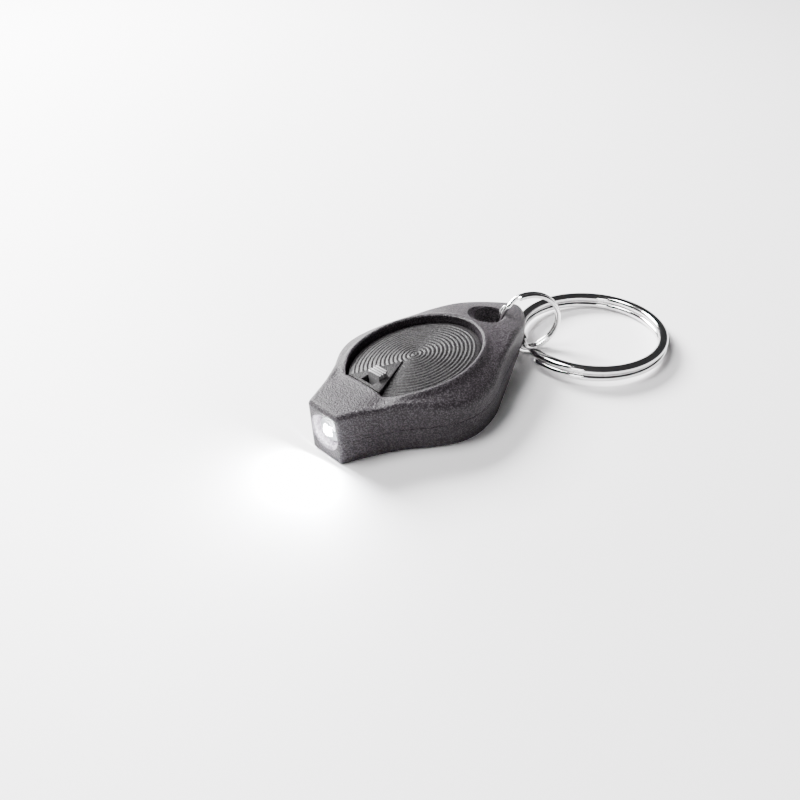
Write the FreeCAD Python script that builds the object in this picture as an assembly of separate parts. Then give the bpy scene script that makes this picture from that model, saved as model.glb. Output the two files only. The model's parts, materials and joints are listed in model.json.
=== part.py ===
"""Keychain squeeze light: two moulded shells, a press button with a lock slide, one LED, two coin cells
and two split rings. Millimetres, +Z up, +X towards the tail.
The origin is on the underside, below the middle of the button and of the coin cells."""
import FreeCAD
import Part
import os
from math import cos, radians, sin

V = FreeCAD.Vector
X_AXIS, Y_AXIS, Z_AXIS = V(1, 0, 0), V(0, 1, 0), V(0, 0, 1)

# Body
NOSE_X = -19.0                 # flat front face
TAIL_X = 24.7                  # rounded tail tip
PART_Z = 4.0                   # parting plane between the shells
CROWN_TOP = 12.0               # above every point of the crowned top
EDGE_ROUND = 0.8               # round along every outer edge
# Half widths of the body in plan, from the nose to the tail tip
SIDE_OUTLINE = ((-19.0, 3.3), (-15.0, 5.1), (-10.5, 7.6), (-6.5, 10.8), (-3.0, 12.75), (0.5, 13.3),
                (5.0, 12.3), (9.5, 10.1), (14.5, 7.8), (19.2, 5.6), (22.6, 3.2))
# Crown of the top: station x, height along the middle, and height at the body's side
CROWN = ((-22.0, 8.9, 8.8), (-16.0, 8.9, 8.75), (-11.5, 9.0, 8.6), (-7.0, 10.0, 7.9), (-1.0, 11.2, 6.7),
         (4.0, 11.1, 6.75), (8.5, 10.2, 7.4), (12.0, 9.3, 8.0), (16.0, 8.7, 8.1), (20.0, 7.9, 7.4),
         (24.0, 6.9, 6.6), (28.0, 5.6, 5.4))
CROWN_WIDTH = 15.0             # half width of the crown's own solid, wider than the body
CROWN_STEP = 2.0               # spacing of the crown's grid along X
# Underside where it sweeps up to the tail
TAIL_SWEEP = ((6.0, 0.0), (9.0, 0.25), (12.0, 1.05), (16.0, 2.5), (20.0, 3.95), (26.0, 5.7))

# Cavity and button opening
CELL_R = 10.0
CELL_H = 1.6
CELL_Z = 1.6                   # underside of the cell stack
CAVITY_R = 10.3
FLOOR = 1.1                    # thickness of the lower shell under the cells
CAVITY_TOP = 7.05              # underside of the ledge that keeps the button in
OPENING_A, OPENING_B = 12.2, 8.9      # half axes of the oval opening
OPENING_FRONT = -10.8          # the oval is cut flat here
RIM_HEIGHT = 9.25              # top of the lip round the opening
RIM_WIDTH = 1.1
RIM_ROUND = 0.4
FLANGE_A, FLANGE_B = 12.6, 9.35       # pocket for the button's side flanges
FLANGE_X = 9.8                 # the flange pocket ends here, clear of the screws

# Button
BUTTON_GAP = 0.35
BUTTON_EDGE_Z = 8.0            # top of the button at its edge
BUTTON_CROWN_Z = 8.85          # and at its middle
BUTTON_UNDER_Z = 6.5
FLANGE_THICK = 0.5
WEDGE_TOP = 8.95               # the raised slide track
WEDGE_HALF = 3.45
WEDGE_APEX_X = -2.6
PAD_R = 2.6
PAD_UNDER_Z = 5.87             # just clear of the upper lead

# Lock slide in its track
SLOT_FRONT, SLOT_REAR = -10.15, -6.9
SLOT_HALF = 1.25
SLIDE_LENGTH = 1.75
SLIDE_HALF = 1.15
SLIDE_TOP = 9.9
SLIDE_REAR = -7.0
SLIDE_RIBS = 4
FOOT_REAR, FOOT_HALF = -6.15, 1.7
FOOT_BOTTOM, FOOT_TOP = 6.85, 7.35
POCKET_TOP = 7.42
POCKET_FRONT, POCKET_REAR, POCKET_HALF = -10.2, -5.9, 1.95
KEEPER_THICK = 0.15

# LED, lying along X
LED_Z = 4.45
LED_R = 2.5
LED_TIP = -18.85
LED_BACK = -11.0
LED_FLANGE_R = 2.85
LED_FLANGE = 0.9
LED_FIT = 0.06
LEAD = 0.5
LEAD_PITCH = 2.54
CUP_X = -14.4                  # rim of the reflector cup
CHIP_DEPTH = 0.25              # the chip's front, behind the rim
BOND_X, BOND_R = -14.52, 0.05  # the bond wire rises here
LEAD_END_X = 3.0               # the leads reach past the middle of the cells
LEAD_FREE_Z = 5.2              # underside of the free end of the upper lead

# Screws from below
SCREW_X, SCREW_Y = 10.6, 5.6
HEAD_R, HEAD_H = 1.05, 0.8
HEAD_Z, REAR_HEAD_Z = 0.45, 1.0       # undersides of the heads; the rear ones are under the sweep
SHANK_R = 0.6
SCREW_TIP_Z = 6.2

# Rings
HOLE_X, HOLE_R = 17.1, 2.6     # upright hole through the tail
HOLE_FLARE = 1.1               # its mouths are flared for the ring
HOLE_TOP_Z, HOLE_BOTTOM_Z = 8.5, 2.7  # the body's top and underside at the hole
SMALL_CENTRE = V(22.83, -3.77, 5.61)
SMALL_OUTER, SMALL_BAND, SMALL_TURN = 5.6, 0.76, 0.7
SMALL_TURN_DEG, SMALL_LEAN_DEG = -33.2, -0.1
KEY_CENTRE_X, KEY_CENTRE_Y = 31.44, -10.63
KEY_OUTER, KEY_WIRE, KEY_TURN = 13.0, 1.65, 1.25
KEY_TILT_DEG = 2.68            # its tail side rests on the small ring, its far side on the ground


def box(low, high):
    """A box between two corners."""
    size = high - low
    return Part.makeBox(size.x, size.y, size.z, low)


def rod(radius, low, high, centre=(0.0, 0.0)):
    """An upright cylinder between two heights."""
    return Part.makeCylinder(radius, high - low, V(centre[0], centre[1], low))


def rod_x(radius, low, high, z=LED_Z):
    """A cylinder along X."""
    return Part.makeCylinder(radius, high - low, V(low, 0, z), X_AXIS)


def oval(a, b, low, high, front=None, back=None):
    """An upright oval block, cut flat at the front and the back where they are given."""
    block = Part.Face(Part.Wire(Part.Ellipse(V(0, 0, low), a, b).toShape())).extrude(V(0, 0, high - low))
    low_x = -a - 1 if front is None else front
    high_x = a + 1 if back is None else back
    return block.common(box(V(low_x, -b - 1, low - 1), V(high_x, b + 1, high + 1)))


def through(points):
    """The edge of a smooth curve through points."""
    curve = Part.BSplineCurve()
    curve.interpolate(points)
    return curve.toShape()


def plan_block(low, high):
    """The body's plan outline, drawn up from one height to another."""
    right = [V(x, -w, low) for x, w in SIDE_OUTLINE]
    left = [V(x, w, low) for x, w in reversed(SIDE_OUTLINE)]
    side = through(right + [V(TAIL_X, 0, low)] + left)
    front = Part.makeLine(left[-1], right[0])
    return Part.Face(Part.Wire([side, front])).extrude(V(0, 0, high - low))


def between(rows, x):
    """The values at x on a smooth curve through rows of (x, value, ...), level at both ends."""
    after = next((i for i, row in enumerate(rows) if row[0] > x), None)
    if after in (0, None):
        return rows[0 if after == 0 else -1][1:]
    start, end = rows[after - 1], rows[after]
    before, beyond = rows[max(after - 2, 0)], rows[min(after + 1, len(rows) - 1)]
    span = end[0] - start[0]
    t = (x - start[0]) / span
    values = []
    for a, b, first, last in zip(start[1:], end[1:], before[1:], beyond[1:]):
        slope_a = (b - first) / (end[0] - before[0]) * span
        slope_b = (last - a) / (beyond[0] - start[0]) * span
        values.append((2 * t**3 - 3 * t**2 + 1) * a + (t**3 - 2 * t**2 + t) * slope_a
                      + (3 * t**2 - 2 * t**3) * b + (t**3 - t**2) * slope_b)
    return values


def crown_height(x, y):
    """The height of the crowned top: an arch across the body at every station."""
    middle, side = between(CROWN, x)
    half = between(SIDE_OUTLINE + ((TAIL_X, 2.4), (TAIL_X + 4, 2.4)), x)[0]
    return middle - (middle - side) * min(abs(y) / half, 1.3) ** 2


def crown_block():
    """A block whose top is the crowned surface and which is larger than the body all round."""
    steps = int((TAIL_X + 3 - NOSE_X) / CROWN_STEP) + 2
    stations = [NOSE_X - CROWN_STEP + CROWN_STEP * index for index in range(steps)]
    across = [CROWN_WIDTH * side / 8 for side in range(-8, 9)]
    surface = Part.BSplineSurface()
    surface.interpolate([[V(x, y, crown_height(x, y)) for y in across] for x in stations])
    return surface.toShape().extrude(V(0, 0, -20))


def tail_sweep():
    """What the underside's sweep up to the tail takes away."""
    curve = through([V(x, -CROWN_WIDTH, z) for x, z in TAIL_SWEEP])
    first, last = TAIL_SWEEP[0], TAIL_SWEEP[-1]
    corners = [V(last[0], -CROWN_WIDTH, last[1]), V(last[0], -CROWN_WIDTH, -1),
               V(first[0], -CROWN_WIDTH, -1), V(first[0], -CROWN_WIDTH, first[1])]
    side = Part.Wire([curve] + Part.makePolygon(corners).Edges)
    return Part.Face(side).extrude(V(0, 2 * CROWN_WIDTH, 0))


def outer_edges(body):
    """The body's outline edges, top and bottom, and the upright edges of its nose."""
    def is_outline(edge):
        bounds = edge.BoundBox
        crosses = bounds.YLength > 10 and bounds.XLength < 0.1
        return not crosses and (bounds.XLength > 0.5 or bounds.ZLength > 5)
    return [edge for edge in body.Edges if is_outline(edge)]


def rim_lip():
    """The raised lip round the button opening, still solid inside."""
    lip = oval(OPENING_A + RIM_WIDTH, OPENING_B + RIM_WIDTH, PART_Z + 1, RIM_HEIGHT)
    top = [edge for edge in lip.Edges if edge.BoundBox.ZMin > RIM_HEIGHT - 0.01]
    behind_front = box(V(OPENING_FRONT, -CROWN_WIDTH, 0), V(TAIL_X, CROWN_WIDTH, CROWN_TOP))
    return lip.makeFillet(RIM_ROUND, top).common(behind_front)


def body_solid():
    """The whole outside of the body, before it is hollowed and split."""
    body = plan_block(0, CROWN_TOP).common(crown_block()).cut(tail_sweep())
    body = body.makeFillet(EDGE_ROUND, outer_edges(body))
    below_rim = box(V(NOSE_X - 1, -CROWN_WIDTH, -1), V(TAIL_X + 1, CROWN_WIDTH, RIM_HEIGHT))
    return body.common(below_rim).fuse(rim_lip())


def tail_hole():
    """The upright hole through the tail, with flared mouths."""
    wide = HOLE_R + 2 * HOLE_FLARE
    hole = rod(HOLE_R, -1, CROWN_TOP, (HOLE_X, 0))
    top = Part.makeCone(HOLE_R, wide, 2 * HOLE_FLARE, V(HOLE_X, 0, HOLE_TOP_Z - HOLE_FLARE))
    bottom = Part.makeCone(wide, HOLE_R, 2 * HOLE_FLARE, V(HOLE_X, 0, HOLE_BOTTOM_Z - HOLE_FLARE))
    return hole.fuse([top, bottom])


def cavity():
    """The space inside the shells: cells, button flanges and the LED's seat."""
    cells = rod(CAVITY_R, FLOOR, CAVITY_TOP)
    flanges = oval(FLANGE_A, FLANGE_B, PART_Z, CAVITY_TOP, -FLANGE_X, FLANGE_X)
    opening = oval(OPENING_A, OPENING_B, PART_Z, CROWN_TOP, OPENING_FRONT)
    barrel = rod_x(LED_R + LED_FIT, NOSE_X - 1, LED_BACK + 1)
    seat = rod_x(LED_FLANGE_R + LED_FIT, LED_BACK - LED_FLANGE - LED_FIT, LED_BACK + 1)
    lead_well = box(V(LED_BACK, -LEAD, FLOOR), V(0, LEAD, PART_Z))
    return cells.fuse([flanges, opening, barrel, seat, lead_well])


def screw_places():
    """The four places of the case screws."""
    return [(x, y) for x in (-SCREW_X, SCREW_X) for y in (-SCREW_Y, SCREW_Y)]


def screw(place, play=0.0):
    """One case screw with its head down, or the hole for it when there is play."""
    seat = REAR_HEAD_Z if place[0] > 0 else HEAD_Z
    low = seat - (5 if play else 0)
    head = rod(HEAD_R + play, low, seat + HEAD_H, place)
    shank = rod(SHANK_R, seat + HEAD_H, SCREW_TIP_Z, place)
    return head.fuse(shank)


def shells():
    """The hollow body, split at the parting plane."""
    body = body_solid()
    hollow = body.cut(cavity()).cut(tail_hole())
    for place in screw_places():
        hollow = hollow.cut(screw(place, 0.1))
    span = V(NOSE_X - 1, -CROWN_WIDTH, -1), V(TAIL_X + 1, CROWN_WIDTH, CROWN_TOP)
    lower = hollow.common(box(span[0], V(span[1].x, span[1].y, PART_Z)))
    upper = hollow.common(box(V(span[0].x, span[0].y, PART_Z), span[1]))
    return upper, lower


def button_dome():
    """The button's oval body with its domed top."""
    a, b = OPENING_A - BUTTON_GAP, OPENING_B - BUTTON_GAP
    front = OPENING_FRONT + BUTTON_GAP / 2
    plate = oval(a, b, BUTTON_UNDER_Z, BUTTON_CROWN_Z + 1, front)
    rise = BUTTON_CROWN_Z - BUTTON_EDGE_Z
    radius = (a * a + rise * rise) / (2 * rise)
    ball = Part.makeSphere(radius, V(0, 0, 0))
    stretch = FreeCAD.Matrix(1, 0, 0, 0, 0, b / a, 0, 0, 0, 0, 1, BUTTON_CROWN_Z - radius, 0, 0, 0, 1)
    return plate.common(ball.transformGeometry(stretch))


def press_button():
    """The button: dome, side flanges, raised wedge, slide slot and the pocket for the slide's foot."""
    front = OPENING_FRONT + BUTTON_GAP / 2
    reach = FLANGE_X - BUTTON_GAP
    flanges = oval(FLANGE_A - BUTTON_GAP, FLANGE_B - BUTTON_GAP, BUTTON_UNDER_Z,
                   BUTTON_UNDER_Z + FLANGE_THICK, -reach, reach)
    corners = [V(front, -WEDGE_HALF, BUTTON_UNDER_Z), V(WEDGE_APEX_X, 0, BUTTON_UNDER_Z),
               V(front, WEDGE_HALF, BUTTON_UNDER_Z), V(front, -WEDGE_HALF, BUTTON_UNDER_Z)]
    wedge = Part.Face(Part.makePolygon(corners)).extrude(V(0, 0, WEDGE_TOP - BUTTON_UNDER_Z))
    slot = box(V(SLOT_FRONT, -SLOT_HALF, 0), V(SLOT_REAR, SLOT_HALF, CROWN_TOP))
    pocket = box(V(POCKET_FRONT, -POCKET_HALF, 0), V(POCKET_REAR, POCKET_HALF, POCKET_TOP))
    return button_dome().fuse([flanges, wedge]).cut(slot).cut(pocket).removeSplitter()


def lock_slide():
    """The slide: ribbed grip, stem through the slot and a wide foot below it."""
    front = SLIDE_REAR - SLIDE_LENGTH
    grip = box(V(front, -SLIDE_HALF, FOOT_TOP), V(SLIDE_REAR, SLIDE_HALF, SLIDE_TOP))
    pitch = SLIDE_LENGTH / (2 * SLIDE_RIBS - 1)
    for index in range(SLIDE_RIBS - 1):
        x = front + (2 * index + 1) * pitch
        groove = box(V(x, -SLIDE_HALF - 1, SLIDE_TOP - pitch), V(x + pitch, SLIDE_HALF + 1, SLIDE_TOP + 1))
        grip = grip.cut(groove)
    foot = box(V(front, -FOOT_HALF, FOOT_BOTTOM), V(FOOT_REAR, FOOT_HALF, FOOT_TOP))
    return grip.fuse(foot)


def slide_keeper():
    """The thin leaf under the slide's foot, with the bump that the foot clicks past."""
    low = FOOT_BOTTOM - 0.05 - KEEPER_THICK
    half = POCKET_HALF - 0.05
    leaf = box(V(POCKET_FRONT + 0.1, -half, low), V(POCKET_REAR - 0.1, half, low + KEEPER_THICK))
    window = box(V(SLOT_FRONT + 0.6, 0.5, low - 1), V(SLOT_REAR, 1.0, low + 1))
    return leaf.cut(window)


def button_pad():
    """The rubber pad that presses the upper lead down on the cells."""
    return rod(PAD_R, PAD_UNDER_Z, BUTTON_UNDER_Z)


def led_pieces():
    """The LED's clear body and what is cast into it."""
    dome = Part.makeSphere(LED_R, V(LED_TIP + LED_R, 0, LED_Z))
    barrel = rod_x(LED_R, LED_TIP + LED_R, LED_BACK)
    flange = rod_x(LED_FLANGE_R, LED_BACK - LED_FLANGE, LED_BACK)
    lens = dome.fuse([barrel, flange])
    low_z, high_z = LED_Z - LEAD_PITCH / 2, LED_Z + LEAD_PITCH / 2
    half = LEAD / 2
    gap_x = LED_BACK + 0.1

    cup_stem = box(V(CUP_X + 0.8, -half, low_z - half), V(gap_x + LEAD, half, low_z + half))
    cup_head = box(V(CUP_X, -0.9, low_z - half), V(CUP_X + 1.3, 0.9, LED_Z + 0.75))
    cup = Part.makeCone(0.6, 0.3, 0.5, V(CUP_X, 0, LED_Z), X_AXIS)
    drop = box(V(gap_x, -half, FLOOR), V(gap_x + LEAD, half, low_z + half))
    under = box(V(gap_x, -half, FLOOR), V(LEAD_END_X, half, FLOOR + LEAD))
    cathode = cup_stem.fuse([cup_head, drop, under]).cut(cup).removeSplitter()

    chip = box(V(CUP_X + CHIP_DEPTH, -0.2, LED_Z - 0.2), V(CUP_X + 0.5, 0.2, LED_Z + 0.2))
    post = box(V(CUP_X - 0.2, -half, high_z - half + 0.1), V(gap_x, half, high_z + half))
    slope = [V(gap_x, -half, high_z - half), V(LEAD_END_X, -half, LEAD_FREE_Z),
             V(LEAD_END_X, -half, LEAD_FREE_Z + LEAD), V(gap_x, -half, high_z + half)]
    arm = Part.Face(Part.makePolygon(slope + slope[:1])).extrude(V(0, LEAD, 0))
    anode = post.fuse(arm)

    out = rod_x(BOND_R, BOND_X, CUP_X + CHIP_DEPTH)
    rise = rod(BOND_R, LED_Z, high_z - half + 0.1, (BOND_X, 0))
    wire = out.fuse([rise, Part.makeSphere(BOND_R, V(BOND_X, 0, LED_Z))])
    cast_in = cathode.fuse([anode, chip, cup, wire])
    return {"led_lens": lens.cut(cast_in), "led_cathode_lead": cathode, "led_anode_lead": anode,
            "led_chip": chip, "led_bond_wire": wire}


def ring(outer, inner, low, high):
    """An upright ring with a square section."""
    return rod(outer, low, high).cut(rod(inner, low - 1, high + 1))


def coin_cell(number, low):
    """One lithium coin cell, its can up and its cap down, as six pieces."""
    top = low + CELL_H
    can = rod(CELL_R, low + 0.1, top).cut(rod(CELL_R - 0.25, low - 1, top - 0.25))
    gasket = ring(CELL_R - 0.27, 8.8, low + 0.12, top - 0.3)
    cap = rod(8.75, low, low + 0.8).cut(rod(8.5, low + 0.25, low + 1))
    return {f"cell_{number}_can": can, f"cell_{number}_gasket": gasket, f"cell_{number}_cap": cap,
            f"cell_{number}_lithium": rod(8.0, low + 0.27, low + 0.7),
            f"cell_{number}_separator": rod(8.45, low + 0.82, low + 0.9),
            f"cell_{number}_cathode": rod(8.2, low + 0.92, top - 0.27)}


def cell_sleeve():
    """The insulating sleeve round both cells, which keeps the lower lead off the cans."""
    return ring(CELL_R + 0.2, CELL_R + 0.05, CELL_Z + 0.05, CELL_Z + 2 * CELL_H)


def split_ring(outer, band, turn):
    """A two-turn split ring about Z, centred on the origin: two rounded turns joined along a groove."""
    section = None
    for low in (-turn, 0.0):
        lip = 0.32 * min(band, turn)
        flat = box(V(outer - band, 0, low), V(outer, 0.1, low + turn))
        along = [edge for edge in flat.Edges if abs(edge.tangentAt(edge.FirstParameter).y) > 0.9]
        blank = flat.makeFillet(lip, along)
        face = [f for f in blank.Faces if f.CenterOfMass.y < 1e-6][0]
        solid = face.revolve(V(0, 0, 0), Z_AXIS, 360)
        section = solid if section is None else section.fuse(solid)
    core = ring(outer - band / 3, outer - 2 * band / 3, -turn / 4, turn / 4)
    return section.fuse(core).removeSplitter()


def small_ring_axis():
    """The small ring's own axis: it leans and is turned in the tail hole."""
    turn, lean = radians(SMALL_TURN_DEG), radians(SMALL_LEAN_DEG)
    return V(sin(turn) * cos(lean), -cos(turn) * cos(lean), sin(lean))


def small_ring():
    """The small split ring through the tail."""
    shape = split_ring(SMALL_OUTER, SMALL_BAND, SMALL_TURN)
    shape.Placement = FreeCAD.Placement(SMALL_CENTRE, FreeCAD.Rotation(Z_AXIS, small_ring_axis()))
    return shape


def key_ring_centre():
    """The middle of the key ring, tilted so that its far side just touches the ground."""
    tilt = radians(KEY_TILT_DEG)
    return V(KEY_CENTRE_X, KEY_CENTRE_Y, KEY_OUTER * sin(tilt) + KEY_TURN * cos(tilt) + 0.03)


def key_ring():
    """The large split ring, lying through the small one."""
    shape = split_ring(KEY_OUTER, KEY_WIRE, KEY_TURN)
    shape.Placement = FreeCAD.Placement(key_ring_centre(), FreeCAD.Rotation(Y_AXIS, KEY_TILT_DEG))
    return shape


def all_parts():
    """Every node's name and shape."""
    upper, lower = shells()
    parts = {"upper_shell": upper, "lower_shell": lower, "press_button": press_button(),
             "button_pad": button_pad(), "lock_slide": lock_slide(), "slide_keeper": slide_keeper(),
             "case_screws": Part.makeCompound([screw(place) for place in screw_places()]),
             "cell_sleeve": cell_sleeve(), "small_ring": small_ring(), "key_ring": key_ring()}
    parts.update(led_pieces())
    for number in (1, 2):
        parts.update(coin_cell(number, CELL_Z + (number - 1) * CELL_H))
    return parts


def main():
    """Write one STEP file for each node."""
    os.makedirs("parts", exist_ok=True)
    for name, shape in all_parts().items():
        shape.exportStep(f"parts/{name}.step")
        print(f"{name:20s} solids {len(shape.Solids)} valid {shape.isValid()} volume {shape.Volume:9.3f} mm3")


if __name__ == "__main__":
    main()
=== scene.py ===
"""The looks of a keychain squeeze light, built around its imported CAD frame.

Sizes in the classes are in millimetres and are turned into metres where a mesh is placed. +X points to the tail
and the rings, +Z up out of the button, and the origin is on the underside below the middle of the button.
"""

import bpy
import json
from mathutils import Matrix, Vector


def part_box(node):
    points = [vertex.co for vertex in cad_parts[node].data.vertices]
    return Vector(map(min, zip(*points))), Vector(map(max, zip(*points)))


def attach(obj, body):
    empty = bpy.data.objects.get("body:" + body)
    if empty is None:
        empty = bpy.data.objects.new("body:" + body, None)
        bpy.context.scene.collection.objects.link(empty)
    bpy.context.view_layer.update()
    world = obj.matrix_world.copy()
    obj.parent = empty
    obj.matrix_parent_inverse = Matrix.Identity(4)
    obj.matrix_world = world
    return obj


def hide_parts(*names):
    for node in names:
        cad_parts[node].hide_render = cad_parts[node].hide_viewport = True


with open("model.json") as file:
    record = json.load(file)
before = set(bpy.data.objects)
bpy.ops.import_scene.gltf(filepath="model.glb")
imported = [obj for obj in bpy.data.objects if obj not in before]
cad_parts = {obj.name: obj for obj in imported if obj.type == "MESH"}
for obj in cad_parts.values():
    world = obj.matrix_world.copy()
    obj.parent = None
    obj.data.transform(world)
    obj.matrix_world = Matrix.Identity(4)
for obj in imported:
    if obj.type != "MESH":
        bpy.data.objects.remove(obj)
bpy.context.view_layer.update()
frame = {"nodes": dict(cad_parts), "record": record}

import json
import logging
import math
from dataclasses import dataclass
from enum import Enum
from typing import Callable, ClassVar, Iterable, Sequence, TypeVar

import bmesh
import bpy
from mathutils import Matrix, Vector

MM = 0.001
SMOOTH_ANGLE = math.radians(32.0)
LOG = logging.getLogger("squeeze_light")

Point = Sequence[float]
Colour = tuple[float, float, float]
Placer = Callable[[float, float, float], Point]
Curved = TypeVar("Curved", float, Vector)


# ---------------------------------------------------------------- finishes

class Pattern(Enum):
    """How the fine relief of a surface is laid out."""

    SPARKED = "spark eroded mould texture"
    DRAWN = "fine scratches of plated or drawn metal"
    PRESSED = "even fine grain"


class NodeBench:
    """A material's node tree with short calls for adding and joining nodes."""

    def __init__(self, name: str) -> None:
        """Start a material that holds only its output node.

        Args:
            name: the material's name.
        """
        self.material = bpy.data.materials.new(name)
        self.material.use_nodes = True
        self.tree = self.material.node_tree
        self.tree.nodes.clear()
        self.output = self.tree.nodes.new("ShaderNodeOutputMaterial")

    def add(self, kind: str, settings: dict | None = None, **inputs: object) -> bpy.types.Node:
        """Add one node.

        Args:
            kind: the node's type, such as ShaderNodeTexNoise.
            settings: attributes of the node itself.
            inputs: values or sockets for its inputs, underscores standing for spaces.

        Returns:
            The new node.
        """
        node = self.tree.nodes.new(kind)
        for key, value in (settings or {}).items():
            setattr(node, key, value)
        for key, value in inputs.items():
            self.put(node.inputs[key.replace("_", " ")], value)
        return node

    def put(self, socket: bpy.types.NodeSocket, value: object) -> None:
        """Set a socket to a value, or link it when the value is a socket.

        Args:
            socket: the socket to set.
            value: the value, or the socket that drives it.
        """
        if isinstance(value, bpy.types.NodeSocket):
            self.tree.links.new(value, socket)
        else:
            socket.default_value = value

    def blend(self, share: object, first: object, second: object) -> bpy.types.NodeSocket:
        """Mix two colours.

        Args:
            share: how far to go to the second colour.
            first: the colour at a share of 0.
            second: the colour at a share of 1.

        Returns:
            The mixed colour's socket.
        """
        node = self.add("ShaderNodeMix", {"data_type": "RGBA"})
        self.put(node.inputs[0], share)
        self.put(node.inputs[6], first)
        self.put(node.inputs[7], second)
        return node.outputs[2]

    def remap(self, value: object, low: float, high: float, new_low: float,
              new_high: float) -> bpy.types.NodeSocket:
        """Map a value's range on to another range.

        Args:
            value: the value.
            low: start of its range.
            high: end of its range.
            new_low: where the start goes.
            new_high: where the end goes.

        Returns:
            The mapped value's socket.
        """
        node = self.add("ShaderNodeMapRange", Value=value, From_Min=low, From_Max=high, To_Min=new_low,
                        To_Max=new_high)
        return node.outputs[0]

    def sum(self, first: object, second: object, factor: float = 1.0) -> bpy.types.NodeSocket:
        """Scale one value and add it to another.

        Args:
            first: the value that is kept.
            second: the value that is scaled.
            factor: its scale.

        Returns:
            The sum's socket.
        """
        node = self.add("ShaderNodeMath", {"operation": "MULTIPLY_ADD"})
        self.put(node.inputs[0], second)
        self.put(node.inputs[1], factor)
        self.put(node.inputs[2], first)
        return node.outputs[0]


@dataclass(frozen=True)
class Finish:
    """A surface finish: its colour, gloss and fine relief.

    Attributes:
        name: the material's name.
        colour: base colour, linear.
        roughness: middle of the roughness range.
        metallic: 1 for a bare or plated metal.
        grain: size of the relief in millimetres.
        depth: depth of the relief in millimetres.
        pattern: how the relief is laid out.
        mottle: how far the colour wanders, as a share.
        painted_glint: how far the raised parts of the relief are lightened as painted glints, as a share.
        wear: how much rubbed edges lighten, from 0 to 1.
        specular: strength of the clear reflection.
        glow: emission strength.
    """

    name: str
    colour: Colour
    roughness: float
    metallic: float = 0.0
    grain: float = 0.2
    depth: float = 0.01
    pattern: Pattern = Pattern.PRESSED
    mottle: float = 0.08
    painted_glint: float = 0.06
    wear: float = 0.0
    specular: float = 0.5
    glow: float = 0.0

    @property
    def glint_heights(self) -> tuple[float, float]:
        """Give the range of relief heights that are lightened as painted glints."""
        return (0.1, 0.4) if self.pattern is Pattern.SPARKED else (0.45, 0.75)

    def relief(self, bench: NodeBench, place: bpy.types.NodeSocket) -> bpy.types.NodeSocket:
        """Lay out the fine relief.

        Args:
            bench: the material's node tree.
            place: the object coordinates.

        Returns:
            The relief's height, from about 0 to 1.
        """
        scale = 1.0 / (self.grain * MM)
        if self.pattern is Pattern.DRAWN:
            stretch = bench.add("ShaderNodeMapping", Vector=place, Scale=(0.12, 1.0, 1.0))
            fine = bench.add("ShaderNodeTexNoise", Vector=stretch.outputs[0], Scale=scale, Detail=4.0)
            return fine.outputs[0]
        fine = bench.add("ShaderNodeTexNoise", Vector=place, Scale=scale, Detail=3.0, Roughness=0.65)
        if self.pattern is Pattern.PRESSED:
            return fine.outputs[0]
        pits = bench.add("ShaderNodeTexVoronoi", {"feature": "SMOOTH_F1"}, Vector=place, Scale=scale * 0.8)
        return bench.sum(fine.outputs[0], pits.outputs[0], -0.8)

    def edge_wear(self, bench: NodeBench) -> bpy.types.NodeSocket:
        """Find the rubbed edges, where a rounded normal leaves the true one.

        Args:
            bench: the material's node tree.

        Returns:
            The share of wear.
        """
        rounded = bench.add("ShaderNodeBevel", {"samples": 4}, Radius=0.35 * MM)
        flat = bench.add("ShaderNodeNewGeometry")
        match = bench.add("ShaderNodeVectorMath", {"operation": "DOT_PRODUCT"})
        bench.put(match.inputs[0], rounded.outputs[0])
        bench.put(match.inputs[1], flat.outputs["Normal"])
        return bench.remap(match.outputs["Value"], 0.97, 0.75, 0.0, self.wear)

    def tone(self, bench: NodeBench, place: bpy.types.NodeSocket, height: bpy.types.NodeSocket,
             ) -> bpy.types.NodeSocket:
        """Colour the surface: slow drift, painted glints on the raised parts of the relief, and rubbed edges.

        Args:
            bench: the material's node tree.
            place: the object coordinates.
            height: the relief's height.

        Returns:
            The colour.
        """
        drift = bench.add("ShaderNodeTexNoise", Vector=place, Scale=180.0, Detail=5.0).outputs[0]
        dark = self.shade(1 - self.mottle, 0.0)
        light = self.shade(1 + self.mottle, 0.0)
        colour = bench.blend(bench.remap(drift, 0.35, 0.65, 0.0, 1.0), dark, light)
        # Painted glints: the raised parts of the relief are lightened, standing in for light caught by the grain.
        colour = bench.blend(bench.remap(height, *self.glint_heights, 0.0, self.painted_glint), colour, self.shade(2.6, 0.04))
        if self.wear:
            rubbed = tuple(2.4 * channel + 0.03 for channel in self.colour) + (1.0,)
            colour = bench.blend(self.edge_wear(bench), colour, rubbed)
        return colour

    def shade(self, factor: float, lift: float) -> tuple[float, ...]:
        """Give the base colour scaled and lifted, with full alpha."""
        return tuple(min(1.0, factor * channel + lift) for channel in self.colour) + (1.0,)

    def build(self) -> bpy.types.Material:
        """Make the material.

        Returns:
            The finished material.
        """
        bench = NodeBench(self.name)
        place = bench.add("ShaderNodeTexCoord").outputs["Object"]
        height = self.relief(bench, place)
        smudge = bench.add("ShaderNodeTexNoise", Vector=place, Scale=60.0, Detail=2.0).outputs[0]
        rough = bench.remap(smudge, 0.3, 0.7, self.roughness * 0.86, min(1.0, self.roughness * 1.14))
        bump = bench.add("ShaderNodeBump", Strength=1.0, Distance=self.depth * MM, Height=height)
        shader = bench.add("ShaderNodeBsdfPrincipled", Base_Color=self.tone(bench, place, height), Roughness=rough,
                           Metallic=self.metallic, Normal=bump.outputs[0])
        shader.inputs["Specular IOR Level"].default_value = self.specular
        if self.glow:
            shader.inputs["Emission Color"].default_value = (0.93, 0.97, 1.0, 1.0)
            shader.inputs["Emission Strength"].default_value = self.glow
        bench.put(bench.output.inputs[0], shader.outputs[0])
        return bench.material


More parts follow.
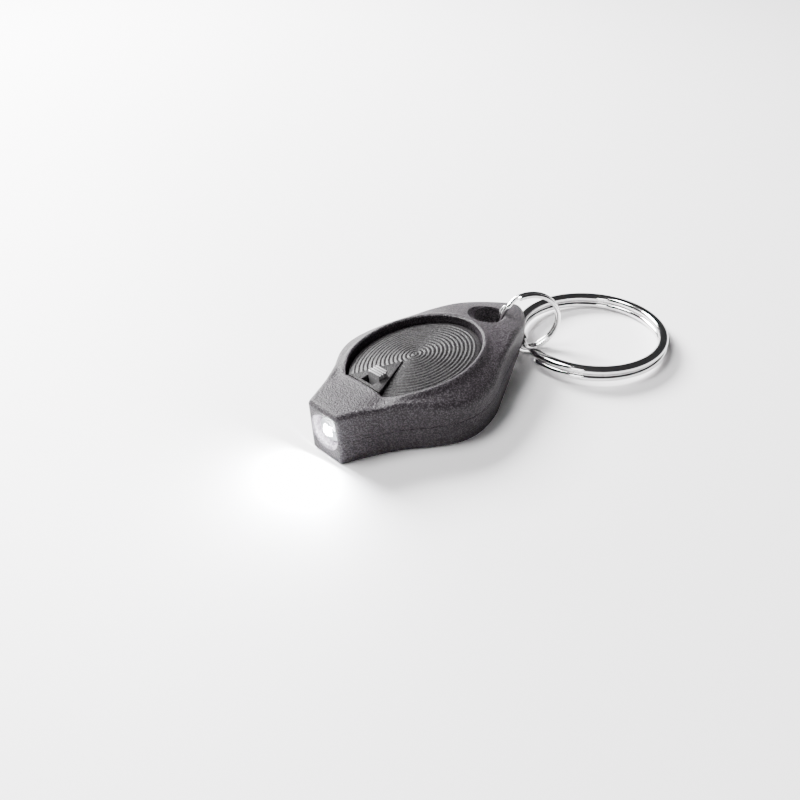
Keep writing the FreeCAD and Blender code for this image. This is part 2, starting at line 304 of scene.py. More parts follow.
@dataclass(frozen=True)
class ClearResin:
    """Clear cast epoxy with faint flow marks, lit from the chip inside it.

    Attributes:
        name: the material's name.
        tint: colour of the resin.
        roughness: middle of the roughness range.
        index: refractive index.
        glow: emission strength.
    """

    name: str = "clear_epoxy"
    tint: Colour = (0.97, 0.98, 1.0)
    roughness: float = 0.04
    index: float = 1.53
    glow: float = 0.4

    def build(self) -> bpy.types.Material:
        """Make the material.

        Returns:
            The finished material.
        """
        bench = NodeBench(self.name)
        place = bench.add("ShaderNodeTexCoord").outputs["Object"]
        flow = bench.add("ShaderNodeTexNoise", Vector=place, Scale=900.0, Detail=3.0).outputs[0]
        bump = bench.add("ShaderNodeBump", Strength=0.4, Distance=0.01 * MM, Height=flow)
        rough = bench.remap(flow, 0.3, 0.7, self.roughness * 0.5, self.roughness * 2.0)
        shader = bench.add("ShaderNodeBsdfPrincipled", Base_Color=self.tint + (1.0,), Roughness=rough,
                           IOR=self.index, Normal=bump.outputs[0])
        shader.inputs["Transmission Weight"].default_value = 1.0
        shader.inputs["Emission Color"].default_value = (0.9, 0.95, 1.0, 1.0)
        shader.inputs["Emission Strength"].default_value = self.glow
        bench.put(bench.output.inputs[0], shader.outputs[0])
        return bench.material


# The record's material slots and their finishes
FINISHES: dict[str, Finish | ClearResin] = {
    # The shell and button carry strong painted glints on the raised parts of their relief.
    "shell_plastic": Finish("charcoal_shell", (0.0140, 0.0110, 0.0138), 0.40, grain=0.2, depth=0.11,
                            pattern=Pattern.SPARKED, mottle=0.1, painted_glint=0.8, wear=0.3, specular=0.2),
    "button_plastic": Finish("charcoal_button", (0.0100, 0.0090, 0.0097), 0.40, grain=0.18, depth=0.055,
                             pattern=Pattern.SPARKED, mottle=0.1, painted_glint=0.6, wear=0.35, specular=0.18),
    # The slide is dark plastic; its colour is raised to mid grey as a painted highlight, standing in for light off
    # its ribs.
    "slide_plastic": Finish("dark_slide_painted_highlight", (0.24, 0.235, 0.24), 0.24, grain=0.1, depth=0.006, wear=0.5),
    "pad_rubber": Finish("black_rubber", (0.02, 0.02, 0.02), 0.75, grain=0.12, depth=0.02),
    "spring_steel": Finish("spring_strip", (0.55, 0.55, 0.56), 0.25, 1.0, grain=0.06, depth=0.002,
                           pattern=Pattern.DRAWN),
    "screw_steel": Finish("zinc_screw", (0.42, 0.42, 0.44), 0.32, 1.0, grain=0.07, depth=0.004,
                          pattern=Pattern.DRAWN, wear=0.4),
    "sleeve_plastic": Finish("clear_sleeve_film", (0.7, 0.7, 0.66), 0.35, grain=0.3, depth=0.004),
    "ring_chrome": Finish("bright_nickel", (0.80, 0.79, 0.79), 0.11, 1.0, grain=0.12, depth=0.0016,
                          pattern=Pattern.DRAWN, mottle=0.05),
    "led_epoxy": ClearResin(),
    "lead_tin": Finish("tinned_lead", (0.75, 0.75, 0.74), 0.28, 1.0, grain=0.08, depth=0.003,
                       pattern=Pattern.DRAWN),
    "led_die": Finish("lit_phosphor", (0.95, 0.92, 0.6), 0.6, grain=0.05, depth=0.003, glow=60.0),
    "bond_gold": Finish("gold_wire", (0.9, 0.65, 0.25), 0.2, 1.0, grain=0.05, depth=0.001, pattern=Pattern.DRAWN),
    "cell_steel": Finish("cell_nickel", (0.66, 0.66, 0.67), 0.27, 1.0, grain=0.1, depth=0.003,
                         pattern=Pattern.DRAWN),
    "gasket_plastic": Finish("cell_gasket", (0.16, 0.19, 0.22), 0.5, grain=0.2, depth=0.006),
    "lithium_metal": Finish("lithium_foil", (0.6, 0.6, 0.62), 0.5, 1.0, grain=0.25, depth=0.01),
    "separator_film": Finish("separator_felt", (0.85, 0.85, 0.82), 0.9, grain=0.08, depth=0.02),
    "cathode_mix": Finish("pressed_oxide", (0.03, 0.03, 0.03), 0.85, grain=0.1, depth=0.03),
}


class Dresser:
    """Builds each finish once and puts it on pieces and CAD nodes."""

    def __init__(self) -> None:
        """Start with no material made."""
        self.made: dict[str, bpy.types.Material] = {}

    def material(self, slot: str) -> bpy.types.Material:
        """Give the material of a record slot, making it when first asked for.

        Args:
            slot: the record's material slot.

        Returns:
            The material.
        """
        if slot not in self.made:
            self.made[slot] = FINISHES[slot].build()
        return self.made[slot]

    def dress(self, piece: bpy.types.Object, slot: str) -> None:
        """Put a slot's material on a piece.

        Args:
            piece: the piece.
            slot: the record's material slot.
        """
        piece.data.materials.clear()
        piece.data.materials.append(self.material(slot))

    def dress_node(self, name: str, slot: str) -> None:
        """Put a slot's material on a CAD node.

        Args:
            name: the node.
            slot: the record's material slot.
        """
        node = frame["nodes"][name]
        if not node.material_slots:
            node.data.materials.append(None)
        for holder in node.material_slots:
            holder.material = self.material(slot)


# ---------------------------------------------------------------- curves of the body

def hermite(t: float, start: Curved, end: Curved, slope_start: Curved, slope_end: Curved) -> Curved:
    """Go from start to end as t goes from 0 to 1, with a given slope at each."""
    return ((2 * t**3 - 3 * t**2 + 1) * start + (t**3 - 2 * t**2 + t) * slope_start
            + (3 * t**2 - 2 * t**3) * end + (t**3 - t**2) * slope_end)


def between(rows: Sequence[Sequence[float]], x: float) -> list[float]:
    """Read the values at x on a smooth curve through rows.

    Args:
        rows: (x, value, ...) in rising x.
        x: where to read.

    Returns:
        The values, level beyond both ends.
    """
    after = next((index for index, row in enumerate(rows) if row[0] > x), None)
    if after in (0, None):
        return list(rows[0 if after == 0 else -1][1:])
    start, end = rows[after - 1], rows[after]
    before, beyond = rows[max(after - 2, 0)], rows[min(after + 1, len(rows) - 1)]
    span = end[0] - start[0]
    values = []
    for a, b, first, last in zip(start[1:], end[1:], before[1:], beyond[1:]):
        slope_a = (b - first) / (end[0] - before[0]) * span
        slope_b = (last - a) / (beyond[0] - start[0]) * span
        values.append(hermite((x - start[0]) / span, a, b, slope_a, slope_b))
    return values


def ease(t: float) -> float:
    """Rise smoothly from 0 at t = 0 to 1 at t = 1."""
    t = min(1.0, max(0.0, t))
    return t * t * (3 - 2 * t)


def mix(a: float, b: float, t: float) -> float:
    """Go from a to b as t goes from 0 to 1."""
    return a + (b - a) * t


def along(points: Sequence[Point], count: int) -> list[Vector]:
    """Spread points evenly round a closed line of short straight pieces.

    Args:
        points: the line, its first point given once.
        count: how many points to give.

    Returns:
        The points.
    """
    line = [Vector(point) for point in points]
    line.append(line[0])
    reach = [0.0]
    for first, second in zip(line, line[1:]):
        reach.append(reach[-1] + (second - first).length)
    step = reach[-1] / count
    spread, segment = [], 0
    for index in range(count):
        while segment < len(line) - 2 and reach[segment + 1] < index * step:
            segment += 1
        share = (index * step - reach[segment]) / max(1e-9, reach[segment + 1] - reach[segment])
        spread.append(line[segment].lerp(line[segment + 1], share))
    return spread


def spline(points: Sequence[Point], steps: int) -> list[Vector]:
    """Draw a smooth open curve through points.

    Args:
        points: the points.
        steps: how many short pieces to draw between each two.

    Returns:
        The curve's points.
    """
    knots = [Vector(point) for point in points]
    ends = [2 * knots[0] - knots[1], *knots, 2 * knots[-1] - knots[-2]]
    drawn = []
    for p0, p1, p2, p3 in zip(ends, ends[1:], ends[2:], ends[3:]):
        chord = (p2 - p1).length
        tangent_a = (p2 - p0) / ((p1 - p0).length + chord) * chord
        tangent_b = (p3 - p1) / ((p3 - p2).length + chord) * chord
        drawn += [hermite(index / steps, p1, p2, tangent_a, tangent_b) for index in range(steps)]
    return drawn + [knots[-1]]


@dataclass(frozen=True)
class BodyForm:
    """The body's outside, shared by both shells: plan outline, crowned top and swept-up underside.

    Attributes:
        side: (x, half width) along the side.
        tail: the tail's tip.
        corner: round of the nose's corners.
        part_z: height of the parting plane.
        crown: (x, height at the middle, height at the side).
        sweep: (x, height) of the underside.
        hollow: depth of the soft hollows beside the nose facet.
        opening_a: half length of the button's opening.
        opening_b: half width of the opening.
        opening_front: where the opening is cut flat.
        columns: points in each loop of the shells.
    """

    side: tuple[tuple[float, float], ...] = (
        (-19.0, 3.3), (-15.0, 5.1), (-10.5, 7.6), (-6.5, 10.8), (-3.0, 12.75), (0.5, 13.29), (5.0, 12.3),
        (9.5, 10.1), (14.5, 7.8), (19.2, 5.6), (22.6, 3.2))
    tail: float = 24.7
    corner: float = 0.6
    part_z: float = 4.0
    crown: tuple[tuple[float, float, float], ...] = (
        (-22.0, 8.9, 8.8), (-16.0, 8.9, 8.75), (-11.5, 9.0, 8.6), (-7.0, 10.0, 7.9), (-1.0, 11.2, 6.7),
        (4.0, 11.1, 6.75), (8.5, 10.2, 7.4), (12.0, 9.3, 8.0), (16.0, 8.7, 8.1), (20.0, 7.9, 7.4),
        (24.0, 6.9, 6.6), (28.0, 5.6, 5.4))
    sweep: tuple[tuple[float, float], ...] = (
        (6.0, 0.0), (9.0, 0.25), (12.0, 1.05), (16.0, 2.5), (20.0, 3.95), (26.0, 5.7))
    hollow: float = 0.32
    opening_a: float = 12.2
    opening_b: float = 8.9
    opening_front: float = -10.8
    columns: int = 360

    def outline(self) -> list[Vector]:
        """Draw the plan outline, anticlockwise from the nose, with rounded nose corners.

        Returns:
            The outline's points.
        """
        right = [(x, -w) for x, w in self.side]
        left = [(x, w) for x, w in reversed(self.side)]
        line = spline([*right, (self.tail, 0.0), *left], 14)
        nose_x, nose_w = self.side[0]
        line = [p for p in line if math.dist(p, (nose_x, math.copysign(nose_w, p.y))) > self.corner]
        for side in (1, -1):
            start = line[-1] if side == 1 else Vector((nose_x, -nose_w + self.corner))
            end = Vector((nose_x, nose_w - self.corner)) if side == 1 else line[0]
            tip = Vector((nose_x, side * nose_w))
            for index in range(1, 9):
                t = index / 9
                line.append((1 - t) ** 2 * start + 2 * t * (1 - t) * tip + t * t * end)
            if side == 1:
                line += [end, Vector((nose_x, -nose_w + self.corner))]
        return along(line, self.columns)

    def inset(self, outline: Sequence[Vector], distance: float) -> list[Vector]:
        """Move an outline inwards along its normals.

        Args:
            outline: the outline, anticlockwise.
            distance: how far to move it.

        Returns:
            The moved outline.
        """
        moved = []
        for index, point in enumerate(outline):
            run = outline[(index + 1) % len(outline)] - outline[index - 1]
            inward = Vector((-run.y, run.x)).normalized()
            moved.append(point + inward * distance)
        return moved

    def opening(self, point: Vector, grow: float = 0.0) -> Vector:
        """Find where the line from the middle to a point meets the button's opening.

        Args:
            point: the point.
            grow: how much larger the opening is taken.

        Returns:
            The place on the opening's edge.
        """
        angle = math.atan2(point.y, point.x)
        a, b = self.opening_a + grow, self.opening_b + grow
        radius = a * b / math.hypot(b * math.cos(angle), a * math.sin(angle))
        if math.cos(angle) < 0:
            radius = min(radius, self.opening_front / math.cos(angle))
        return Vector((math.cos(angle), math.sin(angle))) * radius

    def top(self, x: float, y: float) -> float:
        """Give the height of the crowned top, with the soft hollows beside the nose facet.

        Args:
            x: place along the body.
            y: place across the body.

        Returns:
            The height.
        """
        middle, edge = between(self.crown, x)
        half = between(self.side + ((self.tail, 2.4), (self.tail + 4, 2.4)), x)[0]
        height = middle - (middle - edge) * min(abs(y) / half, 1.3) ** 2
        dip = math.exp(-((x + 11.8) / 2.4) ** 2 - ((abs(y) - 4.9) / 1.3) ** 2)
        return height - self.hollow * dip

    def underside(self, x: float) -> float:
        """Give the height of the underside."""
        return between(self.sweep, x)[0]


BODY = BodyForm()


# ---------------------------------------------------------------- modelling

def deselect() -> None:
    """Deselect every object, so that the next operator acts on one piece."""
    if bpy.context.object and bpy.context.object.mode != "OBJECT":
        bpy.ops.object.mode_set(mode="OBJECT")
    bpy.ops.object.select_all(action="DESELECT")


def take(piece: bpy.types.Object) -> None:
    """Select one piece alone and make it active.

    Args:
        piece: the piece.
    """
    deselect()
    piece.select_set(True)
    bpy.context.view_layer.objects.active = piece


class LoopSkin:
    """A skin modelled loop by loop: a circle is added, then each next loop is extruded and placed."""

    def __init__(self, name: str, count: int) -> None:
        """Add the first loop.

        Args:
            name: the piece's name.
            count: points in each loop.
        """
        deselect()
        bpy.ops.mesh.primitive_circle_add(vertices=count, radius=MM, fill_type="NOTHING")
        self.piece = bpy.context.object
        self.piece.name = name
        self.data = self.piece.data
        self.ring = list(range(count))
        self.first: list[Point] = []
        bpy.ops.object.mode_set(mode="EDIT")

    def loop(self, points: Iterable[Point]) -> None:
        """Extrude the last loop and place the new one.

        Args:
            points: the new loop's points, in millimetres.
        """
        spots = [Vector(point) for point in points]
        if self.first:
            self.ring = self.grow()
        else:
            self.first = spots
        mesh = bmesh.from_edit_mesh(self.data)
        mesh.verts.ensure_lookup_table()
        for index, spot in zip(self.ring, spots):
            mesh.verts[index].co = spot * MM
        bmesh.update_edit_mesh(self.data, destructive=False)

    def grow(self) -> list[int]:
        """Extrude the selected loop and find each new point from its old one.

        Returns:
            The new points' places in the mesh, in the loop's order.
        """
        before = len(bmesh.from_edit_mesh(self.data).verts)
        bpy.ops.mesh.extrude_edges_move()
        mesh = bmesh.from_edit_mesh(self.data)
        mesh.verts.index_update()
        mesh.verts.ensure_lookup_table()
        grown = {}
        for index in range(before, len(mesh.verts)):
            for edge in mesh.verts[index].link_edges:
                other = edge.other_vert(mesh.verts[index]).index
                if other < before:
                    grown[other] = index
        return [grown[index] for index in self.ring]

    def finish(self, closed: bool) -> bpy.types.Object:
        """Close the skin and turn its faces outwards.

        Args:
            closed: whether the last loop joins the first; otherwise the first loop gets a face too.

        Returns:
            The piece, in object mode.
        """
        if closed:
            self.loop(self.first)
        bpy.ops.mesh.select_all(action="SELECT")
        bpy.ops.mesh.remove_doubles(threshold=1e-8)
        if not closed:
            bpy.ops.mesh.select_all(action="DESELECT")
            bpy.ops.mesh.select_non_manifold()
            bpy.ops.mesh.edge_face_add()
            bpy.ops.mesh.select_all(action="SELECT")
        bpy.ops.mesh.normals_make_consistent(inside=False)
        bpy.ops.object.mode_set(mode="OBJECT")
        return self.piece


def apply(piece: bpy.types.Object, kind: str, **settings: object) -> None:
    """Add a modifier to a piece and apply it.

    Args:
        piece: the piece.
        kind: the modifier's type.
        settings: its attributes.
    """
    take(piece)
    modifier = piece.modifiers.new(kind.lower(), kind)
    for key, value in settings.items():
        setattr(modifier, key, value)
    bpy.ops.object.modifier_apply(modifier=modifier.name)


def carve(piece: bpy.types.Object, tool: bpy.types.Object, operation: str = "DIFFERENCE",
          keep: bool = False) -> None:
    """Cut a tool out of a piece, or join it on.

    Args:
        piece: the piece.
        tool: the piece that cuts it or is joined on.
        operation: what the boolean does.
        keep: whether the tool is kept for another piece.
    """
    apply(piece, "BOOLEAN", object=tool, operation=operation, solver="EXACT")
    if not keep:
        bpy.data.objects.remove(tool)


def smooth(piece: bpy.types.Object, angle: float = SMOOTH_ANGLE) -> None:
    """Shade a piece smooth, keeping the edges sharper than an angle."""
    take(piece)
    bpy.ops.object.shade_smooth_by_angle(angle=angle)


def block(name: str, low: Point, high: Point, bevel: float = 0.0) -> bpy.types.Object:
    """Model a block with rounded edges.

    Args:
        name: the piece's name.
        low: its lowest corner.
        high: its highest corner.
        bevel: the edges' round.

    Returns:
        The block.
    """
    deselect()
    size = [h - l for l, h in zip(low, high)]
    centre = [(h + l) / 2 for l, h in zip(low, high)]
    bpy.ops.mesh.primitive_cube_add(size=1.0)
    piece = bpy.context.object
    piece.name = name
    bpy.ops.object.mode_set(mode="EDIT")
    bpy.ops.transform.resize(value=[s * MM for s in size])
    bpy.ops.transform.translate(value=[c * MM for c in centre])
    if bevel:
        bpy.ops.mesh.bevel(offset=bevel * MM, segments=3, affect="EDGES")
    bpy.ops.object.mode_set(mode="OBJECT")
    return piece


def turned(name: str, profile: Sequence[tuple[float, float]], count: int, place: Placer) -> bpy.types.Object:
    """Model a turned piece from its profile, with a face at each end.

    Args:
        name: the piece's name.
        profile: (distance along the axis, radius) from one end to the other.
        count: points round each loop.
        place: gives a point from its distance along the axis and its two offsets across it.

    Returns:
        The piece.
    """
    skin = LoopSkin(name, count)
    turns = [2 * math.pi * index / count for index in range(count)]
    for reach, radius in profile:
        skin.loop(place(reach, radius * math.cos(turn), radius * math.sin(turn)) for turn in turns)
    return skin.finish(closed=False)


def upright(x: float, y: float) -> Placer:
    """Place a turned piece on an upright axis through (x, y)."""
    return lambda reach, across, aside: (x + across, y + aside, reach)


def lengthways(z: float) -> Placer:
    """Place a turned piece on an axis along X at a height."""
    return lambda reach, across, aside: (reach, across, z + aside)


# ---------------------------------------------------------------- sub-assemblies

@dataclass
class Part:
    """One sub-assembly: it models its pieces and sends each to its body.

    Attributes:
        dresser: puts the finishes on the pieces.
        body: the body that its pieces ride on.
    """

    dresser: Dresser
    body: ClassVar[str] = ""

    def hand_over(self, piece: bpy.types.Object, slot: str, *nodes: str, body: str = "") -> None:
        """Dress a piece, put it on its body in place of CAD nodes, and log it.

        Args:
            piece: the finished piece.
            slot: the record's material slot.
            nodes: the CAD nodes that it stands for.
            body: the body it rides on, when it isn't the sub-assembly's own.
        """
        self.dresser.dress(piece, slot)
        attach(piece, body or self.body)
        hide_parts(*nodes)
        LOG.info("%s: %d faces, rides on %s", piece.name, len(piece.data.polygons), body or self.body)


@dataclass
class Shells(Part):
    """The two moulded halves of the body.

    Attributes:
        edge_round: round of the upper shell's outer edge.
        under_round: round of the underside's edge.
        groove: chamfer on each side of the parting line.
        tail_round: round under the tail, where the upper shell has no lower shell below it.
        rim_height: top of the lip round the opening.
        rim_width: width of the lip.
        rim_drop: how far the lip falls to the opening.
        rim_fade: length over which the lip fades out towards the nose.
        ledge: how far the button's flange reaches under the opening's edge.
        ledge_z: height of the ledge that holds the flange down.
        ledge_foot: height of the ledge's lower end.
        cavity: radius of the space for the cells.
        cavity_step: height of the step inside the lower shell.
        floor: thickness of the underside.
        lower_end: where the lower shell stops below the tail.
        hole_x: place of the tail hole.
        hole_radius: radius of the tail hole.
        hole_flare: round of its mouths.
        led_z: height of the LED's axis.
        bore_radius: radius of the LED's bore.
        seat_radius: radius of the seat for its flange.
        screws: (x, rise of the seat) of each pair of screw holes.
        screw_y: how far the screws stand from the middle.
    """

    edge_round: float = 0.8
    under_round: float = 0.4
    groove: float = 0.1
    tail_round: float = 0.55
    rim_height: float = 9.25
    rim_width: float = 1.35
    rim_drop: float = 0.22
    rim_fade: float = 5.0
    ledge: float = 0.35
    ledge_z: float = 7.05
    ledge_foot: float = 5.5
    cavity: float = 10.4
    cavity_step: float = 2.4
    floor: float = 1.1
    lower_end: float = 20.0
    hole_x: float = 17.1
    hole_radius: float = 2.6
    hole_flare: float = 0.55
    led_z: float = 4.45
    bore_radius: float = 2.56
    seat_radius: float = 2.91
    screws: tuple[tuple[float, float], ...] = ((-10.6, 0.0), (10.6, 0.55))
    screw_y: float = 5.6
    body = "casing"

    def drop(self, distance: float) -> float:
        """Give how far the rounded edge has dropped at a distance in from the side."""
        radius = self.edge_round
        return radius - math.sqrt(max(0.0, radius**2 - (radius - distance) ** 2))

    def base(self, x: float) -> float:
        """Give the height of the upper shell's lower face."""
        return max(BODY.part_z, BODY.underside(x))

    def keel(self, x: float) -> float:
        """Give the height of the lower shell's underside, just below the parting plane at the most."""
        return min(BODY.underside(x), BODY.part_z - 0.12)

    def upper(self) -> bpy.types.Object:
        """Model the upper shell: bottom face, side, rounded edge, crown, lip, opening wall and inside.

        Returns:
            The shell, without its holes.
        """
        edge = BODY.outline()
        shoulder = BODY.inset(edge, self.edge_round)
        rim = [BODY.opening(p) for p in edge]
        foot = [q * (1 + self.rim_width / q.length) for q in rim]
        inner = [BODY.opening(p, self.ledge) for p in edge]
        inner = [q * max(1.0, self.cavity / q.length) for q in inner]
        skin = LoopSkin("upper_shell_moulding", BODY.columns)
        self.add_bottom(skin, edge, inner)
        self.add_side(skin, edge, shoulder)
        self.add_crown(skin, edge, shoulder, foot)
        for share in (0.88, 0.75, 0.6, 0.46, 0.34, 0.24, 0.15, 0.08, 0.03, 0.0):
            skin.loop(self.lip(p, q, share) for p, q in zip(rim, foot))
        for z in (8.4, 7.7, self.ledge_z):
            skin.loop((p.x, p.y, z) for p in rim)
        for z in (self.ledge_z, self.ledge_foot):
            skin.loop((q.x, q.y, z) for q in inner)
        return skin.finish(closed=True)

    def add_bottom(self, skin: LoopSkin, edge: Sequence[Vector], inner: Sequence[Vector]) -> None:
        """Add the upper shell's lower face.

        Args:
            skin: the shell so far.
            edge: the plan outline.
            inner: the inside wall.
        """
        near = BODY.inset(edge, 0.5)
        for share in (0.0, 0.2, 0.4, 0.55, 0.7, 0.85, 1.0):
            flat = [q.lerp(p, share) for q, p in zip(inner, near)]
            skin.loop((p.x, p.y, self.base(p.x)) for p in flat)

    def add_side(self, skin: LoopSkin, edge: Sequence[Vector], shoulder: Sequence[Vector]) -> None:
        """Add the round at the parting line, larger under the tail, and the side.

        Args:
            skin: the shell so far.
            edge: the plan outline.
            shoulder: the outline where the rounded edge meets the top.
        """
        base = [self.base(p.x) for p in edge]
        cuts = [mix(self.groove, self.tail_round, ease((p.x - 19.0) / 3.0)) for p in edge]
        for share in (0.0, 0.35, 0.7, 1.0):
            turn = share * math.pi / 2
            loop = []
            for p, q, z, cut in zip(edge, shoulder, base, cuts):
                spot = p + (q - p).normalized() * cut * (1 - math.sin(turn))
                loop.append((spot.x, spot.y, z + cut * (1 - math.cos(turn))))
            skin.loop(loop)
        top = [BODY.top(p.x, p.y) - self.edge_round for p in edge]
        for share in (0.25, 0.5, 0.75):
            skin.loop((p.x, p.y, mix(z + cut, t, share)) for p, z, cut, t in zip(edge, base, cuts, top))

    def add_crown(self, skin: LoopSkin, edge: Sequence[Vector], shoulder: Sequence[Vector],
                  foot: Sequence[Vector]) -> None:
        """Add the rounded edge and the crowned top up to the lip.

        Args:
            skin: the shell so far.
            edge: the plan outline.
            shoulder: the outline where the rounded edge meets the top.
            foot: the lip's outer foot.
        """
        for index in range(8):
            inset = self.edge_round * (1 - math.cos(index / 8 * math.pi / 2))
            spots = [p.lerp(q, inset / self.edge_round) for p, q in zip(edge, shoulder)]
            skin.loop((p.x, p.y, BODY.top(p.x, p.y) - self.drop(inset)) for p in spots)
        for share in (0.0, 0.05, 0.1, 0.18, 0.26, 0.34, 0.42, 0.5, 0.58, 0.66, 0.74, 0.82, 0.9, 0.96, 1.0):
            spots = [p.lerp(q, share) for p, q in zip(shoulder, foot)]
            skin.loop((p.x, p.y, BODY.top(p.x, p.y)) for p in spots)

    def lip(self, inside: Vector, foot: Vector, share: float) -> Point:
        """Give a point of the lip round the opening.

        Args:
            inside: the opening's edge.
            foot: the lip's outer foot.
            share: 0 at the opening, 1 at the foot.

        Returns:
            The point. The lip fades out towards the nose.
        """
        spot = inside.lerp(foot, share)
        ground = BODY.top(spot.x, spot.y)
        strength = ease((inside.x - BODY.opening_front) / self.rim_fade)
        crest = mix(ground, self.rim_height, strength * ease((1 - share) * 1.25))
        inner_round = max(0.0, 1 - share / 0.3) ** 2
        return spot.x, spot.y, crest - mix(0.1, self.rim_drop, strength) * inner_round

    def lower(self) -> bpy.types.Object:
        """Model the lower shell: underside, rounded edge, side, parting face, inside wall and floor.

        Returns:
            The shell, without its holes.
        """
        outline = BODY.outline()
        edge = [Vector((min(p.x, self.lower_end), p.y)) for p in outline]
        shoulder = [Vector((min(q.x, self.lower_end - 0.1), q.y)) for q in BODY.inset(outline, self.under_round)]
        inner = [p.normalized() * self.cavity for p in edge]
        low = [self.keel(p.x) for p in edge]
        radius = [max(0.02, min(self.under_round, BODY.part_z - self.groove - z)) for z in low]
        skin = LoopSkin("lower_shell_moulding", BODY.columns)
        for share in (0.03, 0.2, 0.4, 0.6, 0.75, 0.88):
            skin.loop((q.x * share, q.y * share, BODY.underside(q.x * share)) for q in shoulder)
        for index in range(9):
            turn = index / 8 * math.pi / 2
            spots = [q.lerp(p, math.sin(turn)) for p, q in zip(edge, shoulder)]
            skin.loop((p.x, p.y, self.keel(p.x) + r * (1 - math.cos(turn))) for p, r in zip(spots, radius))
        for share in (0.4, 1.0):
            skin.loop((p.x, p.y, mix(z + r, BODY.part_z - self.groove, share))
                      for p, z, r in zip(edge, low, radius))
        chamfer = self.groove / self.under_round
        skin.loop((*p.lerp(q, chamfer), BODY.part_z) for p, q in zip(edge, shoulder))
        for share in (0.5, 1.0):
            skin.loop((*p.lerp(q, share), BODY.part_z) for p, q in zip(shoulder, inner))
        skin.loop((q.x, q.y, self.cavity_step) for q in inner)
        for share in (1.0, 0.7, 0.4, 0.03):
            skin.loop((q.x * share, q.y * share, self.floor) for q in inner)
        return skin.finish(closed=False)

    def tail_drill(self) -> bpy.types.Object:
        """Model the tool for the tail hole, with a rounded flare at each mouth.

        Returns:
            The tool.
        """
        top, bottom = BODY.top(self.hole_x, 0), BODY.underside(self.hole_x)
        turns = [math.pi / 2 * index / 5 for index in range(6)]
        mouth = [(self.hole_flare * math.sin(turn),
                  self.hole_radius + self.hole_flare * (1 - math.sin(turn)) + 0.25 * (1 - turn / turns[-1]))
                 for turn in turns]
        profile = [(-2.0, self.hole_radius + 3.0)]
        profile += [(bottom - 0.15 + deep, radius) for deep, radius in mouth]
        profile += [(top + 0.1 - deep, radius) for deep, radius in reversed(mouth)]
        profile.append((top + 3.0, self.hole_radius + 3.0))
        return turned("tail_drill", profile, 72, upright(self.hole_x, 0))

    def led_drill(self) -> bpy.types.Object:
        """Model the tool for the LED's bore, its flange seat and the chamfer in the nose.

        Returns:
            The tool.
        """
        nose = BODY.side[0][0]
        profile = [(nose - 0.5, self.bore_radius + 0.95), (nose - 0.02, self.bore_radius + 0.47),
                   (nose + 0.12, self.bore_radius + 0.3), (nose + 0.4, self.bore_radius + 0.08),
                   (nose + 0.7, self.bore_radius), (-11.98, self.bore_radius), (-11.97, self.seat_radius),
                   (-10.2, self.seat_radius)]
        return turned("led_drill", profile, 64, lengthways(self.led_z))

    def screw_drill(self, x: float, y: float, rise: float) -> bpy.types.Object:
        """Model the tool for one screw's stepped hole.

        Args:
            x: place along the body.
            y: place across the body.
            rise: how far the seat is raised, where the underside sweeps up.

        Returns:
            The tool.
        """
        profile = [(-1, 1.3), (0.1 + rise, 1.3), (0.25 + rise, 1.15), (1.27 + rise, 1.15), (1.28 + rise, 0.62),
                   (5, 0.62)]
        return turned("screw_drill", profile, 40, upright(x, y))

    def build(self) -> None:
        """Model, drill and hand over both shells."""
        upper, lower = self.upper(), self.lower()
        for tool in (self.tail_drill(), self.led_drill()):
            carve(upper, tool, keep=True)
            carve(lower, tool)
        for x, rise in self.screws:
            for y in (-self.screw_y, self.screw_y):
                carve(lower, self.screw_drill(x, y, rise))
        for piece, node in ((upper, "upper_shell"), (lower, "lower_shell")):
            smooth(piece)
            self.hand_over(piece, "shell_plastic", node)


